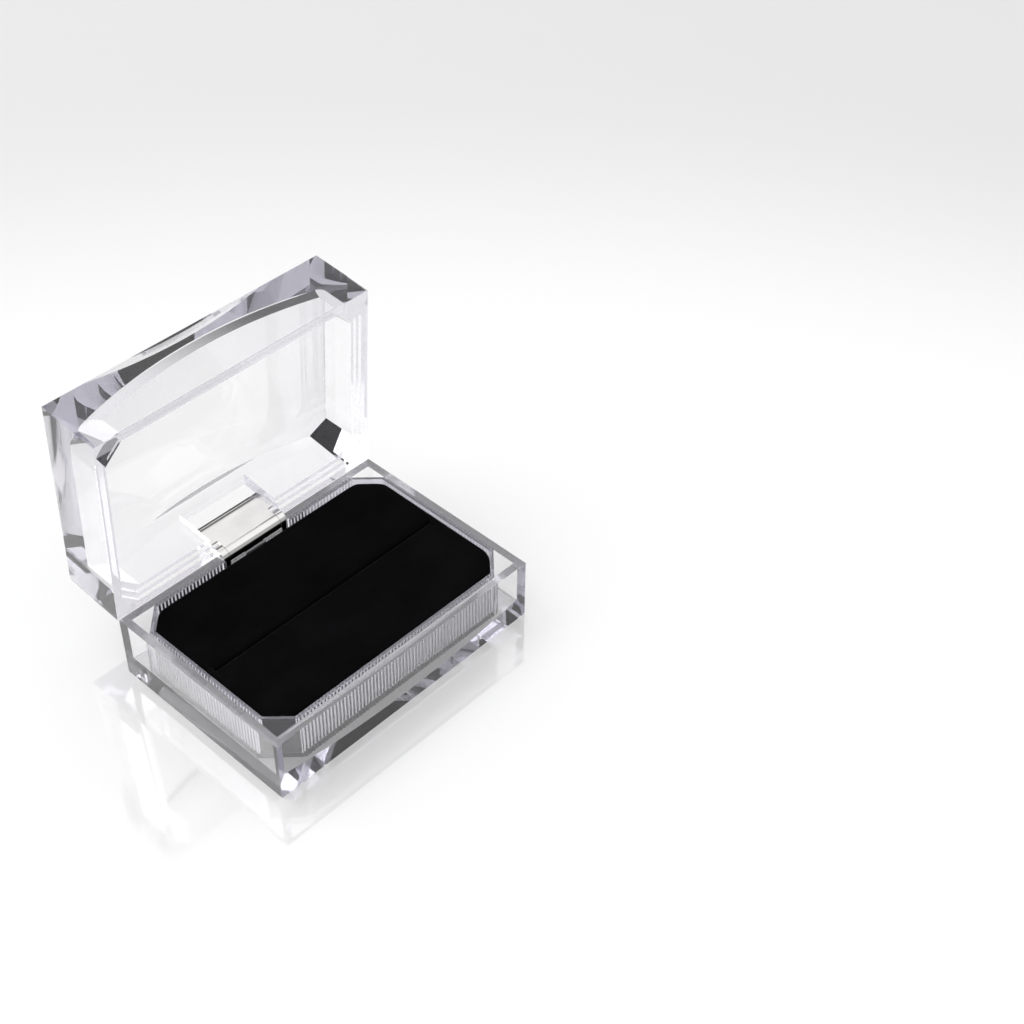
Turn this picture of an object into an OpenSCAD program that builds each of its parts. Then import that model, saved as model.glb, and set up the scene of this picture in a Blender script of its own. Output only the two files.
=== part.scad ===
// Clear hinged ring box with a ribbed liner and a slit velvet pad, shown open.
// Origin: middle of the base's underside. X runs along the length, Y to the hinge, Z up.

/* [Box] */
// Length of both halves
box_length = 65; // [55:0.5:90]
// Width of both halves, front to hinge side
box_width = 45; // [38:0.5:60]
// Height of the base, underside to rim
base_height = 14.3; // [13:0.1:20]
// Height of the lid, rim to top face
lid_height = 14.6; // [13:0.1:20]
// Thickness of the clear walls at the rims
wall = 1.7; // [1.6:0.1:2.2]
// Gap between the two rims when the box is shut
rim_gap = 0.1; // [0.05:0.05:0.3]
// How far the lid stands open, measured from shut
open_angle = 86; // [60:1:100]

/* [Base cavity] */
// Thickness of the base's floor at its thinnest, mid-length
floor_thickness = 2.2; // [1.5:0.1:4]
// Rise of the arched floor from mid-length to the end walls
floor_crown = 2.6; // [0.5:0.1:3]

/* [Lid cavity] */
// Depth of the stepped rebate behind the lid's rim
rebate_depth = 1.6; // [1.4:0.1:3]
// Width of the rebate's two steps together at the end walls
end_ledge = 1.2; // [0.8:0.1:2]
// Width of the rebate's two steps together at the long walls
long_ledge = 2; // [0.8:0.1:2.4]
// Leg of the rebate's corner chamfers
rebate_chamfer = 3.6; // [2:0.1:4]
// Thickness of the lid's top at its thinnest, mid-length
top_thickness = 0.8; // [0.8:0.1:3]
// Fall of the arched ceiling from mid-length to the end walls
ceiling_crown = 5.2; // [0.5:0.1:6]
// Height of the facets that round the ceiling into the front wall
ceiling_round = 3.4; // [1.5:0.1:4.5]
// How far each drafted wall leans in between rebate and ceiling
draft = 0.3; // [0.2:0.1:1]
// Leg of the lid cavity's corner chamfers
lid_chamfer = 4; // [2:0.1:6]

/* [Ribbed liner] */
// Clearance between liner and base walls
liner_gap = 0.1; // [0.05:0.05:0.3]
// Thickness of the liner's wall behind the ribs
liner_wall = 0.6; // [0.5:0.05:1]
// Height of the ribs on the liner's outer faces
rib_height = 0.35; // [0.2:0.05:0.6]
// Distance from one rib to the next
rib_pitch = 0.85; // [0.7:0.05:2]
// Leg of the liner's corner chamfers
liner_chamfer = 4.8; // [3:0.1:7]
// Thickness of the liner's floor
liner_floor = 0.8; // [0.5:0.1:1.5]
// How far the liner's lip stands above the base's rim
lip_height = 0.4; // [0.2:0.1:1]

/* [Pad] */
// Clearance between pad and liner
pad_gap = 0.1; // [0.05:0.05:0.4]
// Depth of the velvet's top below the base's rim
pad_recess = 0.3; // [0:0.1:1.5]
// Thickness of the velvet with its nap
velvet = 0.6; // [0.4:0.1:1]
// Thickness of the card under the foam
card = 0.8; // [0.5:0.1:1.5]
// Width of the ring slit left open between its velvet lips
slit_width = 0.4; // [0.2:0.1:1.5]
// Depth of the ring slit
slit_depth = 5; // [2:0.5:6]
// Length of pad left whole at each end of the slit
slit_end = 1.6; // [1:0.1:6]

/* [Hinge] */
// Width of the hinge along the box
hinge_width = 16.4; // [12:0.1:24]
// Thickness of the hinge's sheet metal
sheet = 0.5; // [0.4:0.05:0.6]
// Diameter of the hinge pin
pin_diameter = 2.8; // [1.6:0.1:3]
// Running clearance between the pin and the lid's knuckle
pin_clearance = 0.05; // [0.02:0.01:0.1]
// Length of each of the base leaf's end knuckles
end_knuckle = 1.5; // [1:0.1:3]
// Gap between neighbouring knuckles
knuckle_gap = 0.1; // [0.05:0.05:0.3]
// How far the pin's axis lies below the base's rim
pin_drop = 0.5; // [0.2:0.1:0.8]
// Reach of the base leaf below the pin
base_leaf_length = 7.5; // [5:0.1:8]
// Reach of the lid leaf above the pin
lid_leaf_length = 7.6; // [5:0.1:9]
// Length of the lid leaf's curled tip
tip_length = 2.7; // [1:0.1:3]
// Radius to which the tip is curled
tip_radius = 7; // [6:0.5:20]
// Reach of the lid's pocket above the pin
lid_pocket_length = 11.4; // [10.6:0.1:12]
// Clearance round the hinge in its pockets and slots
hinge_clearance = 0.25; // [0.15:0.05:0.4]
// Width of the snap spring
spring_width = 5; // [3:0.1:5.5]
// Thickness of the snap spring
spring_thickness = 0.3; // [0.2:0.05:0.4]
// Length of the snap spring's straight foot
spring_foot = 4.5; // [3:0.1:5]

/* [Hidden] */
$fn = 96;
past = 1;                                   // how far cutting solids run past a face

half_l = box_length/2;
half_w = box_width/2;
in_l = half_l - wall;                       // inner faces at the rims
in_w = half_w - wall;
rim_z = base_height;
lid_z = rim_z + rim_gap;                    // the lid's rim when shut
pin_z = rim_z - pin_drop;

pin_r = pin_diameter/2;
knuckle_length = hinge_width - 2*(end_knuckle + knuckle_gap);
lid_bore_r = pin_r + pin_clearance;
barrel_r = lid_bore_r + sheet;              // outside of every knuckle
slot_width = hinge_width + 2*hinge_clearance;
slot_r = barrel_r + hinge_clearance;
pocket_width = slot_width - 2*pin_clearance;
pocket_y = half_w - barrel_r + sheet + pin_clearance;   // back of the base leaf's pocket
lean = atan(draft/(lid_height - rebate_depth - top_thickness));
tip_back = tip_radius - sqrt(pow(tip_radius - sheet, 2) - pow(tip_length, 2));   // the tip's depth
ceiling_z = lid_height - top_thickness;     // crown of the lid's ceiling above its rim
facets = [[68, 1], [45, 0.57], [20, 0.27]]; // tilt, and drop at the wall as a share of ceiling_round

liner_l = in_l - liner_gap;                 // outside of the ribs
liner_w = in_w - liner_gap;
liner_in_l = liner_l - rib_height - liner_wall;
liner_in_w = liner_w - rib_height - liner_wall;
liner_bottom = floor_thickness + floor_crown;
tray_floor_z = liner_bottom + liner_floor;
chamfer_shrink = 2 - sqrt(2);               // a chamfer's leg loses this share of an inward offset

pad_l = liner_in_l - pad_gap;
pad_w = liner_in_w - pad_gap;
pad_chamfer = liner_chamfer - chamfer_shrink*(liner_l - pad_l);
pad_top = rim_z - pad_recess;
foam_bottom = tray_floor_z + card;
foam_top = pad_top - velvet;

// Radius of an arch that rises by sag over a half span
function arch_radius(half_span, sag) = (half_span*half_span + sag*sag)/(2*sag);

// Outline with a 45 degree chamfer on each corner
function chamfered(hl, hw, leg) = [
  [-hl + leg, -hw], [hl - leg, -hw], [hl, -hw + leg], [hl, hw - leg],
  [hl - leg, hw], [-hl + leg, hw], [-hl, hw - leg], [-hl, -hw + leg]];

// One face's row of ribs as [along, inset] points, centred on the face
function rib_row(length) = let (
    count = floor(length/rib_pitch),
    start = -count*rib_pitch/2)
  [for (k = [0:count - 1]) each [
    [start + k*rib_pitch, rib_height],
    [start + (k + 0.3)*rib_pitch, 0],
    [start + (k + 0.7)*rib_pitch, 0]],
   [start + count*rib_pitch, rib_height]];

// The liner's ribbed outline, each face's row turned to its side
function ribbed_outline(hl, hw, leg) = let (
    core_l = hl - rib_height,
    core_w = hw - rib_height,
    core_leg = leg - chamfer_shrink*rib_height,
    front = rib_row(2*(core_l - core_leg)),
    side = rib_row(2*(core_w - core_leg)))
  concat(
    [[-core_l + core_leg, -core_w]], [for (p = front) [p[0], -hw + p[1]]],
    [[core_l - core_leg, -core_w], [core_l, -core_w + core_leg]], [for (p = side) [hl - p[1], p[0]]],
    [[core_l, core_w - core_leg], [core_l - core_leg, core_w]], [for (p = front) [-p[0], hw - p[1]]],
    [[-core_l + core_leg, core_w], [-core_l, core_w - core_leg]], [for (p = side) [-hl + p[1], -p[0]]],
    [[-core_l, -core_w + core_leg]]);

// Puts its children's origin on the hinge axis
module at_pin() translate([0, half_w, pin_z]) children();

// Swings what is modelled shut to the open position
module opened() at_pin() rotate([-open_angle, 0, 0]) translate([0, -half_w, -pin_z]) children();

// A bar along X of a profile given as [y, z]
module bar(width, profile) rotate([90, 0, 90]) linear_extrude(width, center = true) polygon(profile);

// A barrel that limits a cavity to an arched end face; its crown touches z = crown_z
module arch(crown_z, half_span, sag, up) {
  r = arch_radius(half_span, sag);
  translate([0, 0, crown_z + (up ? -r : r)]) rotate([90, 0, 0])
    cylinder(r = r, h = box_width + 2*past, center = true, $fn = 360);
}

// A half's hollow behind its ledge, drafted to the ceiling, opening at z = 0 and going up
module drafted_hollow(hl, hw, leg, lean_in, depth) {
  intersection() {
    rotate([90, 0, 0]) linear_extrude(box_width, center = true)
      polygon([[-hl, 0], [hl, 0], [hl - lean_in, depth], [-hl + lean_in, depth]]);
    bar(box_length, [[-hw, 0], [hw, 0], [hw - lean_in, depth], [-hw + lean_in, depth]]);
    linear_extrude(depth) polygon(chamfered(hl, hw, leg));
  }
}

// The room under an arched plane that slopes from the ceiling down to the front wall
module ceiling_facet(tilt, drop) let (r = arch_radius(in_l, ceiling_crown*cos(tilt)))
  translate([0, -(in_w - long_ledge - draft), ceiling_z - drop]) rotate([tilt, 0, 0])
    translate([0, 0, -r]) rotate([90, 0, 0]) cylinder(r = r, h = 3*box_width, center = true, $fn = 480);

module base_shell() color([0.86, 0.86, 0.92, 0.45]) difference() {
  translate([-half_l, -half_w, 0]) cube([box_length, box_width, rim_z]);
  intersection() {
    translate([-in_l, -in_w, 0]) cube([2*in_l, 2*in_w, rim_z + past]);
    arch(floor_thickness, in_l, floor_crown, false);
  }
  // notch for the barrel and pocket for the base leaf
  translate([-slot_width/2, in_w - past, pin_z - slot_r])
    cube([slot_width, wall + 2*past, slot_r + pin_drop + past]);
  translate([-slot_width/2, in_w - past, pin_z - base_leaf_length - hinge_clearance])
    cube([slot_width, pocket_y - in_w + past, base_leaf_length + hinge_clearance]);
}

module ribbed_liner() color([0.80, 0.80, 0.88, 0.6]) difference() {
  translate([0, 0, liner_bottom])
    linear_extrude(rim_z + lip_height - liner_bottom)
      polygon(ribbed_outline(liner_l, liner_w, liner_chamfer));
  translate([0, 0, tray_floor_z])
    linear_extrude(box_width) polygon(chamfered(liner_in_l, liner_in_w,
      liner_chamfer - chamfer_shrink*(liner_l - liner_in_l)));
  // gap for the hinge leaf and its spring
  translate([-slot_width/2, liner_in_w - past, pin_z - base_leaf_length - hinge_clearance])
    cube([slot_width, box_width, box_width]);
}

module backing_card() color("dimgray") translate([0, 0, tray_floor_z])
  linear_extrude(card) polygon(chamfered(pad_l, pad_w, pad_chamfer));

// The pad's form at a given distance inside the velvet's surface
module pad_form(inset, bottom, top) translate([0, 0, bottom])
  linear_extrude(top - bottom)
    polygon(chamfered(pad_l - inset, pad_w - inset, pad_chamfer - chamfer_shrink*inset));

// The ring slit, widened all round by a given amount
module slit(grow) translate([-pad_l + slit_end - grow, -slit_width/2 - grow, pad_top - slit_depth - grow])
  cube([2*(pad_l - slit_end + grow), slit_width + 2*grow, slit_depth + grow + past]);

module foam_pad() color("#26262a") difference() {
  pad_form(velvet, foam_bottom, foam_top);
  slit(velvet);
}

module velvet_cover() color("#0a0a0c") difference() {
  pad_form(0, foam_bottom, pad_top);
  difference() {
    pad_form(velvet, foam_bottom - past, foam_top);
    slit(velvet);
  }
  slit(0);
}

// A knuckle along X between two stations
module knuckle(from, to) translate([from, 0, 0]) rotate([0, 90, 0]) cylinder(r = barrel_r, h = to - from);

// A leaf in front of the pin, going up to a given reach
module leaf_sheet(reach) translate([-hinge_width/2, -barrel_r, 0]) cube([hinge_width, sheet, reach]);

// The tip of a leaf, curled back on a radius from where the flat part ends
module curled_tip(from) translate([0, -barrel_r, from]) intersection() {
  translate([-hinge_width/2, 0, 0]) cube([hinge_width, tip_radius, tip_length]);
  translate([0, tip_radius, 0]) rotate([0, 90, 0]) difference() {
    cylinder(r = tip_radius, h = 2*hinge_width, center = true, $fn = 240);
    cylinder(r = tip_radius - sheet, h = 3*hinge_width, center = true, $fn = 240);
  }
}

module hinge_base_leaf() color("silver") at_pin() difference() {
  union() {
    for (side = [-1, 1]) let (inner = side*(knuckle_length/2 + knuckle_gap), outer = side*hinge_width/2)
      knuckle(min(inner, outer), max(inner, outer));
    mirror([0, 0, 1]) leaf_sheet(base_leaf_length);
  }
  rotate([0, 90, 0]) cylinder(r = pin_r, h = hinge_width + 2*past, center = true);
  // room for the lid's knuckle and the spring's tip
  translate([-knuckle_length/2 - knuckle_gap, -barrel_r - past, -slot_r - 2*spring_thickness])
    cube([knuckle_length + 2*knuckle_gap, 2*barrel_r, barrel_r + slot_r + 2*spring_thickness]);
}

module hinge_pin() color("gainsboro") at_pin()
  rotate([0, 90, 0]) cylinder(r = pin_r, h = hinge_width, center = true);

// A strip along the base leaf whose tip turns in under the lid's knuckle
module snap_spring() color("lightsteelblue") at_pin() let (
    back = -barrel_r,
    front = -barrel_r - spring_thickness,
    knee = -slot_r - 2*spring_thickness,
    tip_y = -barrel_r + sheet,
    tip_z = -sqrt(slot_r*slot_r - tip_y*tip_y))
  bar(spring_width, [
    [front, knee - spring_foot], [back, knee - spring_foot], [back, knee],
    [tip_y, tip_z - spring_thickness], [tip_y, tip_z], [front, knee + spring_thickness]]);

module hinge_lid_leaf() color("silver") opened() at_pin() difference() {
  union() {
    knuckle(-knuckle_length/2, knuckle_length/2);
    rotate([lean, 0, 0]) {
      leaf_sheet(lid_leaf_length - tip_length);
      curled_tip(lid_leaf_length - tip_length);
    }
  }
  rotate([0, 90, 0]) cylinder(r = lid_bore_r, h = hinge_width + 2*past, center = true);
  // room for the base leaf's knuckles
  for (side = [-1, 1]) let (inner = side*knuckle_length/2, outer = side*(hinge_width/2 + past))
    translate([min(inner, outer), -2*barrel_r, -barrel_r])
      cube([abs(outer - inner), 3*barrel_r, barrel_r + slot_r]);
}

module lid_shell() color([0.86, 0.86, 0.92, 0.45]) opened() translate([0, 0, lid_z]) difference() {
  translate([-half_l, -half_w, 0]) cube([box_length, box_width, lid_height]);
  // the rebate's two steps
  for (step = [0, 1])
    translate([0, 0, -past]) linear_extrude((step + 1)*rebate_depth/2 + past)
      polygon(chamfered(in_l - step*end_ledge/2, in_w - step*long_ledge/2, rebate_chamfer));
  intersection() {
    translate([0, 0, rebate_depth - 0.01])
      drafted_hollow(in_l - end_ledge, in_w - long_ledge, lid_chamfer, draft, lid_height - rebate_depth);
    arch(ceiling_z, in_l, ceiling_crown, true);
    intersection_for(f = facets) ceiling_facet(f[0], f[1]*ceiling_round);
  }
  // notch for the barrel and pocket for the lid leaf
  translate([-slot_width/2, in_w - past, -past])
    cube([slot_width, wall + 2*past, pin_z + slot_r - lid_z + past]);
  translate([0, half_w, pin_z - lid_z]) rotate([lean, 0, 0])
    translate([-pocket_width/2, -barrel_r - 3*wall, 0])
      cube([pocket_width, 3*wall + tip_back + pin_clearance, lid_pocket_length]);
}

base_shell();
ribbed_liner();
backing_card();
foam_pad();
velvet_cover();
hinge_base_leaf();
hinge_pin();
snap_spring();
hinge_lid_leaf();
lid_shell();
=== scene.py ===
import math

import bmesh
import bpy
from mathutils import Matrix, Vector, noise


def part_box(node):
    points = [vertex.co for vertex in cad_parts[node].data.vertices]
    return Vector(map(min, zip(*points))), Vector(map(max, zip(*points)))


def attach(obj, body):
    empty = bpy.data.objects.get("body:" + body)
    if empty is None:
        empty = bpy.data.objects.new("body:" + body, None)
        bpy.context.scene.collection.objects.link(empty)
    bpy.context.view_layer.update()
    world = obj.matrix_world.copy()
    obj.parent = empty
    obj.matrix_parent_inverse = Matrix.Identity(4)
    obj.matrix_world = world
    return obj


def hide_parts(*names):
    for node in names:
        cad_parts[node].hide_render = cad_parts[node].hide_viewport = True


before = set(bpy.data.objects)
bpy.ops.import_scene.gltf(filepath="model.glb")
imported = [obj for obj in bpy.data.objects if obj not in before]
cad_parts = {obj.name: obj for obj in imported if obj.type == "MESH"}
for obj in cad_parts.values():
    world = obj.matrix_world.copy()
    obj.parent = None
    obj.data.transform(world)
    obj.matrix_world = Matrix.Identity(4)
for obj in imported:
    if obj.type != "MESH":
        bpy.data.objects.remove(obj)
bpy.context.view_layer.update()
scene = bpy.context.scene

# Sizes of the velvet pad in metres, from the solid that it replaces and its slit
pad_low, pad_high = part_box("velvet_cover")
PAD_L, PAD_W, PAD_TOP = pad_high
PAD_BOTTOM = pad_low[2]
PAD_CHAMFER = 0.004185
PAD_CORNER_RADIUS = 0.0030
PAD_ROLL = 0.0011
PAD_CROWN = 0.00028
PAD_UNEVENNESS = 0.00005
SLIT_X = PAD_L - 0.0016
SLIT_Y = 0.0002
SLIT_DEPTH = 0.005
SLIT_LIP = 0.0008
PAD_POINTS = 240
PAD_ROWS = 16

# The floor lies a hair below the box, and reaches past every view's horizon
FLOOR_HALF = 3.0
FLOOR_DROP = 0.00005

PLASTIC_INDEX = 1.49
PLASTIC_TINT = (0.72, 0.71, 0.77, 1)
WHITE = (1, 1, 1, 1)


# Node helpers
def set_inputs(shader_node, **values):
    """Sets sockets by name, with an underscore for each space."""
    for name, value in values.items():
        shader_node.inputs[name.replace("_", " ")].default_value = value
    return shader_node


def add_node(tree, kind, **values):
    return set_inputs(tree.nodes.new(kind), **values)


def material(name, **values):
    m = bpy.data.materials.new(name)
    m.use_nodes = True
    return m, set_inputs(m.node_tree.nodes["Principled BSDF"], **values)


def grain(m, scale, stretch=(1, 1, 1), detail=2.0, roughness=0.5):
    """Noise fixed to the piece. Scale is in features per metre, and stretch lengthens them along an axis."""
    tree = m.node_tree
    where = tree.nodes.new("ShaderNodeTexCoord")
    place = add_node(tree, "ShaderNodeMapping", Scale=stretch)
    pattern = add_node(tree, "ShaderNodeTexNoise", Scale=scale, Detail=detail, Roughness=roughness)
    tree.links.new(where.outputs["Object"], place.inputs["Vector"])
    tree.links.new(place.outputs["Vector"], pattern.inputs["Vector"])
    return pattern.outputs["Fac"]


def between(m, pattern, low, high, start=0.3, end=0.7):
    """Spreads a noise between two numbers."""
    tree = m.node_tree
    spread = add_node(tree, "ShaderNodeMapRange", From_Min=start, From_Max=end, To_Min=low, To_Max=high)
    tree.links.new(pattern, spread.inputs["Value"])
    return spread.outputs["Result"]


def between_colours(m, pattern, low, high, start=0.3, end=0.7):
    """Spreads a noise between two colours."""
    tree = m.node_tree
    spread = tree.nodes.new("ShaderNodeValToRGB")
    for stop, position, colour in zip(spread.color_ramp.elements, (start, end), (low, high)):
        stop.position = position
        stop.color = colour
    tree.links.new(pattern, spread.inputs["Fac"])
    return spread.outputs["Color"]


def bump(m, shader, height, strength, distance):
    relief = add_node(m.node_tree, "ShaderNodeBump", Strength=strength, Distance=distance)
    m.node_tree.links.new(height, relief.inputs["Height"])
    m.node_tree.links.new(relief.outputs["Normal"], shader.inputs["Normal"])


# Materials
def clear_plastic(name, colour, density, flow_scale, clearness, rough=0.0):
    """Moulded plastic whose tint deepens along the light's path, with faint flow marks in its colour."""
    m, shader = material(name, IOR=PLASTIC_INDEX, Transmission_Weight=clearness, Roughness=0.0)
    tree = m.node_tree
    flow = grain(m, flow_scale, detail=1.0)
    duller = tuple(0.975 * value for value in colour[:3]) + (1,)
    tree.links.new(between_colours(m, flow, duller, colour), shader.inputs["Base Color"])
    if rough:
        tree.links.new(between(m, flow, 0.2 * rough, rough), shader.inputs["Roughness"])
    tint = add_node(tree, "ShaderNodeVolumeAbsorption", Color=PLASTIC_TINT, Density=density)
    tree.links.new(tint.outputs["Volume"], tree.nodes["Material Output"].inputs["Volume"])
    return m


def metal(name, dark, light, smooth, rough, stretch):
    """Rolled sheet or drawn wire, with fine lines along the way it was rolled."""
    m, shader = material(name, Metallic=1.0)
    links = m.node_tree.links
    lines = grain(m, 400, stretch, detail=3.0, roughness=0.6)
    patches = grain(m, 220, detail=2.0)
    links.new(between_colours(m, patches, dark, light), shader.inputs["Base Color"])
    links.new(between(m, lines, smooth, rough), shader.inputs["Roughness"])
    bump(m, shader, lines, 0.15, 0.000004)
    return m


def card():
    """Black board with short fibres."""
    m, shader = material("card")
    links = m.node_tree.links
    fibres = grain(m, 1800, (0.35, 1, 1), detail=4.0, roughness=0.7)
    dark, light = (0.012, 0.012, 0.013, 1), (0.030, 0.030, 0.033, 1)
    links.new(between_colours(m, fibres, dark, light), shader.inputs["Base Color"])
    links.new(between(m, fibres, 0.72, 0.92), shader.inputs["Roughness"])
    bump(m, shader, fibres, 0.4, 0.00003)
    return m


def velvet():
    """Black pile: a fine nap, and broad strokes where it lies differently."""
    m, shader = material("velvet", Sheen_Weight=0.12, Sheen_Roughness=0.35,
                         Sheen_Tint=(0.5, 0.5, 0.55, 1), Specular_IOR_Level=0.05)
    links = m.node_tree.links
    nap = grain(m, 5200, detail=3.0, roughness=0.7)
    strokes = grain(m, 130, (0.6, 1, 1), detail=2.0)
    dark, light = (0.0014, 0.0014, 0.0017, 1), (0.0034, 0.0034, 0.0040, 1)
    links.new(between_colours(m, strokes, dark, light), shader.inputs["Base Color"])
    links.new(between(m, nap, 0.88, 1.0), shader.inputs["Roughness"])
    bump(m, shader, nap, 0.6, 0.00006)
    return m


def dress(name, finish):
    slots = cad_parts[name].data.materials
    slots.clear()
    slots.append(finish)


hinge_metal = metal("hinge_metal", (0.86, 0.85, 0.84, 1), (0.93, 0.92, 0.90, 1), 0.04, 0.11, (0.15, 1, 1))
spring_steel = metal("spring_steel", (0.50, 0.51, 0.55, 1), (0.62, 0.62, 0.64, 1), 0.18, 0.32, (0.2, 1, 1))
dress("base_shell", clear_plastic("clear_plastic_base", WHITE, 45, 70, 0.985))
dress("lid_shell", clear_plastic("clear_plastic", WHITE, 50, 70, 0.985))
dress("ribbed_liner", clear_plastic("liner_plastic", (0.80, 0.79, 0.85, 1), 60, 110, 0.97, 0.008))
dress("backing_card", card())
dress("snap_spring", spring_steel)
for leaf in ("hinge_base_leaf", "hinge_lid_leaf", "hinge_pin"):
    dress(leaf, hinge_metal)


# Velvet pad
def rounded_corner(before, corner, after, radius, steps=12):
    """Points on the arc that rounds a corner of 135 degrees."""
    u, v = (before - corner).normalized(), (after - corner).normalized()
    half_turn = math.radians(22.5)
    centre = corner + (u + v).normalized() * (radius / math.cos(half_turn))
    start = corner + u * radius * math.tan(half_turn) - centre
    turns = [2 * half_turn * k / steps for k in range(steps + 1)]
    return [centre + Vector((start.x * math.cos(w) - start.y * math.sin(w),
                             start.x * math.sin(w) + start.y * math.cos(w))) for w in turns]


def pad_outline(count):
    """Evenly spaced points along the chamfered outline with its corners rounded, from the right end."""
    inner_l, inner_w = PAD_L - PAD_CHAMFER, PAD_W - PAD_CHAMFER
    corners = [Vector(p) for p in (
        (PAD_L, -inner_w), (PAD_L, inner_w), (inner_l, PAD_W), (-inner_l, PAD_W),
        (-PAD_L, inner_w), (-PAD_L, -inner_w), (-inner_l, -PAD_W), (inner_l, -PAD_W))]
    path = []
    for i in range(8):
        path += rounded_corner(corners[i - 1], corners[i], corners[(i + 1) % 8], PAD_CORNER_RADIUS)
    first = max(range(len(path)), key=lambda i: (path[i].x, -abs(path[i].y)))
    path = path[first:] + path[:first]
    following = path[1:] + path[:1]
    lengths = [(b - a).length for a, b in zip(path, following)]
    total = sum(lengths)
    points, i, run = [], 0, 0.0
    for k in range(count):
        want = total * k / count
        while run + lengths[i] < want:
            run += lengths[i]
            i += 1
        points.append(path[i].lerp(following[i], (want - run) / lengths[i]))
    return points


def slit_point(p):
    """The point on the slit's edge that faces a point of the outline."""
    straight = SLIT_X - SLIT_Y
    x = max(-straight, min(straight, p.x * SLIT_X / (PAD_L - PAD_CHAMFER)))
    if abs(x) < straight - 1e-9:
        return Vector((x, math.copysign(SLIT_Y, p.y)))
    w = math.radians(90) * max(-1.0, min(1.0, p.y / PAD_W))
    return Vector((x + math.copysign(SLIT_Y, p.x) * math.cos(w), SLIT_Y * math.sin(w)))


def pad_rows():
    """Closed rows of points from the pad's underside, over its edge and crown, down into the slit."""
    edge = pad_outline(PAD_POINTS)
    pairs = [(p, slit_point(p)) for p in edge]

    def row(share, height):
        """Points at a share of the way to the slit; height is a number or worked out at each point."""
        places = [p.lerp(s, share) for p, s in pairs]
        return [(q.x, q.y, height(q) if callable(height) else height) for q in places]

    rows = [row(0, z) for z in (PAD_BOTTOM, PAD_BOTTOM + 0.0004, PAD_TOP - PAD_ROLL)]
    for w in (math.radians(deg) for deg in (18, 36, 54, 72, 90)):
        rows.append(row(PAD_ROLL * (1 - math.cos(w)) / PAD_W, PAD_TOP - PAD_ROLL * (1 - math.sin(w))))
    rolled, lip = PAD_ROLL / PAD_W, SLIT_LIP / PAD_W
    for k in range(1, PAD_ROWS):
        t = k / PAD_ROWS
        crown = PAD_TOP + PAD_CROWN * (1 - (2 * t - 1) ** 2)
        unevenness = PAD_UNEVENNESS * min(1, 6 * t * (1 - t))
        rows.append(row(rolled + (1 - lip - rolled) * t, lambda q: (
            crown + unevenness * noise.noise(Vector((q.x * 160, q.y * 160, 3.1))))))
    for w in (math.radians(deg) for deg in (0, 20, 40, 60, 80, 90)):
        rows.append(row(1 - lip * (1 - math.sin(w)), PAD_TOP - SLIT_LIP * (1 - math.cos(w))))
    rows.append(row(1, PAD_TOP - SLIT_DEPTH))
    return rows


def velvet_pad():
    """A closed pad with a rolled edge, a low crown on each half and lips that turn down into the slit."""
    bm = bmesh.new()
    loops = [[bm.verts.new(point) for point in row] for row in pad_rows()]
    for lower, upper in zip(loops, loops[1:]):
        for i in range(PAD_POINTS):
            j = (i + 1) % PAD_POINTS
            bm.faces.new((lower[i], lower[j], upper[j], upper[i]))
    bm.faces.new(list(reversed(loops[0])))
    bm.faces.new(loops[-1])
    mesh = bpy.data.meshes.new("velvet_pad")
    bm.to_mesh(mesh)
    bm.free()
    for face in mesh.polygons:
        face.use_smooth = len(face.vertices) == 4
    mesh.materials.append(velvet())
    return bpy.data.objects.new("velvet_pad", mesh)


pad = velvet_pad()
scene.collection.objects.link(pad)
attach(pad, "base")
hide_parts("velvet_cover", "foam_pad")


# Floor
def floor_finish():
    """A pale board with a soft mirror sheen, lifted to white where the camera, metal or plastic sees it."""
    m, shader = material("floor", Base_Color=(0.93, 0.93, 0.93, 1), Roughness=0.6, Emission_Color=WHITE)
    tree = m.node_tree
    ray = tree.nodes.new("ShaderNodeLightPath")
    lift = None
    for kind, amount in (("Is Camera Ray", 0.20), ("Is Glossy Ray", 0.16), ("Is Transmission Ray", 0.10)):
        part = tree.nodes.new("ShaderNodeMath")
        part.operation = "MULTIPLY_ADD"
        part.inputs[1].default_value = amount
        part.inputs[2].default_value = 0.0
        tree.links.new(ray.outputs[kind], part.inputs[0])
        if lift:
            tree.links.new(lift, part.inputs[2])
        lift = part.outputs[0]
    tree.links.new(lift, shader.inputs["Emission Strength"])
    sheen = add_node(tree, "ShaderNodeBsdfGlossy", Color=WHITE, Roughness=0.06)
    mix = add_node(tree, "ShaderNodeMixShader", Fac=0.22)
    tree.links.new(shader.outputs["BSDF"], mix.inputs[1])
    tree.links.new(sheen.outputs["BSDF"], mix.inputs[2])
    tree.links.new(mix.outputs["Shader"], tree.nodes["Material Output"].inputs["Surface"])
    return m


mesh = bpy.data.meshes.new("floor")
corners = [(x * FLOOR_HALF, y * FLOOR_HALF, 0) for x, y in ((-1, -1), (1, -1), (1, 1), (-1, 1))]
mesh.from_pydata(corners, [], [(0, 1, 2, 3)])
mesh.materials.append(floor_finish())
floor = bpy.data.objects.new("floor", mesh)
floor.location.z = -FLOOR_DROP
scene.collection.objects.link(floor)


# Studio
def smooth_range(tree, value, **limits):
    spread = add_node(tree, "ShaderNodeMapRange", **limits)
    spread.interpolation_type = "SMOOTHSTEP"
    tree.links.new(value, spread.inputs["Value"])
    return spread


def choose(tree, ray_kind, otherwise, strength):
    """A fixed strength for one kind of ray, and otherwise another socket's value."""
    mix = tree.nodes.new("ShaderNodeMix")
    mix.data_type = "FLOAT"
    mix.inputs[3].default_value = strength
    tree.links.new(ray_kind, mix.inputs["Factor"])
    tree.links.new(otherwise, mix.inputs[2])
    return mix.outputs[0]


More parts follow.
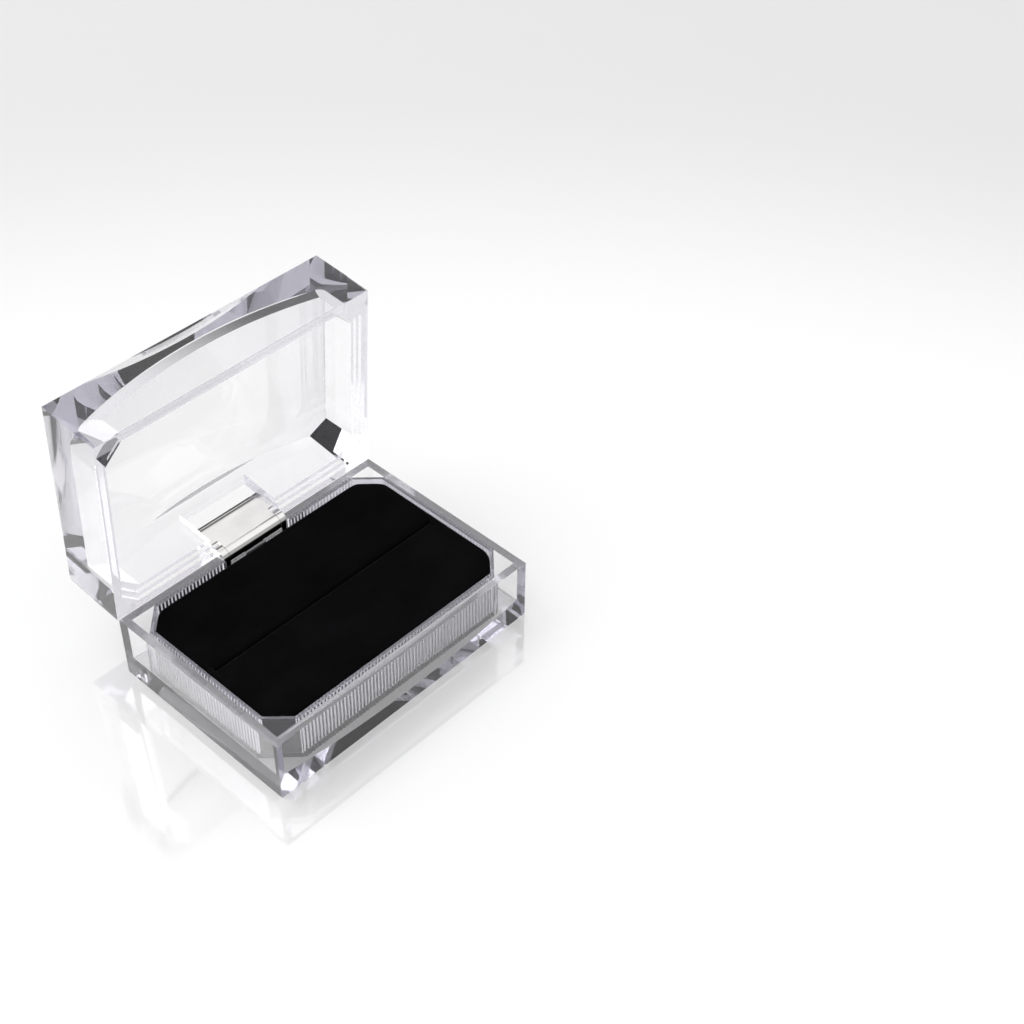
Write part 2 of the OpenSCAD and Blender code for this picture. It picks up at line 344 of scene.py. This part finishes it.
def surroundings():
    """White above and darker near the horizon. A dark card low behind the box on the right shows in the
    curled end of the hinge plate."""
    world = bpy.data.worlds.new("world")
    world.use_nodes = True
    tree = world.node_tree
    where = tree.nodes.new("ShaderNodeTexCoord").outputs["Generated"]
    split = tree.nodes.new("ShaderNodeSeparateXYZ")
    tree.links.new(where, split.inputs["Vector"])
    toward_card = tree.nodes.new("ShaderNodeVectorMath")
    toward_card.operation = "DOT_PRODUCT"
    toward_card.inputs[1].default_value = (0.735, 0.678, 0)
    tree.links.new(where, toward_card.inputs[0])
    low = smooth_range(tree, toward_card.outputs["Value"],
                       From_Min=0.68, From_Max=0.80, To_Min=0.45, To_Max=0.08)
    sky = smooth_range(tree, split.outputs["Z"], From_Min=0.48, From_Max=0.62, To_Max=1.0)
    tree.links.new(low.outputs["Result"], sky.inputs["To Min"])
    ray = tree.nodes.new("ShaderNodeLightPath")
    light = choose(tree, ray.outputs["Is Diffuse Ray"], sky.outputs["Result"], 0.78)
    seen = choose(tree, ray.outputs["Is Camera Ray"], light, 1.0)
    background = set_inputs(tree.nodes["Background"], Color=WHITE)
    tree.links.new(seen, background.inputs["Strength"])
    return world


def soft_box():
    """One large round lamp at the upper left behind the box."""
    lamp = bpy.data.lights.new("soft_box", "AREA")
    lamp.shape = "DISK"
    lamp.size = 0.7
    lamp.energy = 2.2
    o = bpy.data.objects.new("soft_box", lamp)
    o.location = (-0.35, 0.55, 0.9)
    o.rotation_euler = (-o.location).to_track_quat("-Z", "Y").to_euler()
    return o


def camera():
    """The photograph's camera, found from the corners of both halves of the box."""
    lens = bpy.data.cameras.new("camera")
    lens.sensor_width = 36
    lens.lens = 62.61
    lens.clip_start = 0.005
    lens.clip_end = 20
    o = bpy.data.objects.new("camera", lens)
    o.matrix_world = Matrix((
        (0.684427, 0.487626, -0.542015, -0.154673),
        (-0.728968, 0.470785, -0.496958, -0.190207),
        (0.012843, 0.735243, 0.677682, 0.259483),
        (0, 0, 0, 1)))
    return o


scene.world = surroundings()
scene.collection.objects.link(soft_box())
scene.camera = camera()
scene.collection.objects.link(scene.camera)
scene.view_settings.view_transform = "Standard"
scene.cycles.max_bounces = 24
scene.cycles.transmission_bounces = 24
scene.cycles.glossy_bounces = 10
